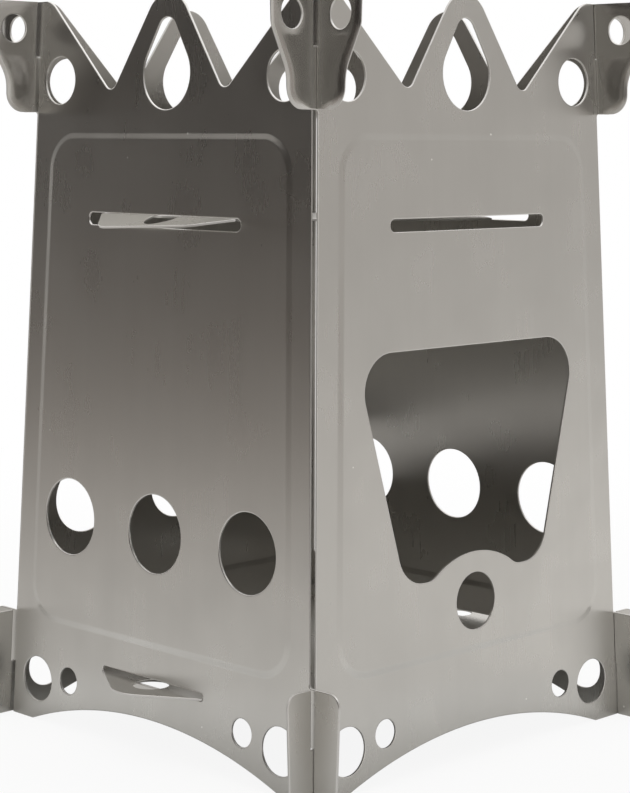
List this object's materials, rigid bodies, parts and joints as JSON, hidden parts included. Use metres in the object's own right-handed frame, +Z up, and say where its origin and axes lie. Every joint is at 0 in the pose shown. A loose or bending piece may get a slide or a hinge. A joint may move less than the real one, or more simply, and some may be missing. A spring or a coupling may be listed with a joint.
{
  "type": "twig stove",
  "caption": "Flat-pack twig stove of stainless sheet: leaning walls hooked at the corners, fuel port, air holes, toothed pot-rest crown, floor plate and cross plate.",
  "frame": {"origin": "centre of the footprint, on the ground", "axes": "+Z up, the fuel port faces -Y, the lower slots and plate tabs are on the +X and -X walls"},
  "size_m": [0.1234, 0.1204, 0.1714],
  "materials": {
    "sheet_steel": "satin rolled stainless sheet with a faint upright grain"
  },
  "bodies": {
    "standing_walls": {"front_wall": "sheet_steel", "back_wall": "sheet_steel"},
    "side_walls": {"left_wall": "sheet_steel", "right_wall": "sheet_steel", "floor_plate": "sheet_steel"},
    "cross_plate": {"cross_plate": "sheet_steel"}
  },
  "joints": [
    {"name": "side_walls_lift", "type": "slide", "parent": "standing_walls", "child": "side_walls", "axis": [0, 0, 1], "range_m": [0, 0.0145]},
    {"name": "cross_plate_slide", "type": "slide", "parent": "side_walls", "child": "cross_plate", "axis": [-0.9998, 0, 0.0214], "range_m": [0, 0.1]}
  ]
}
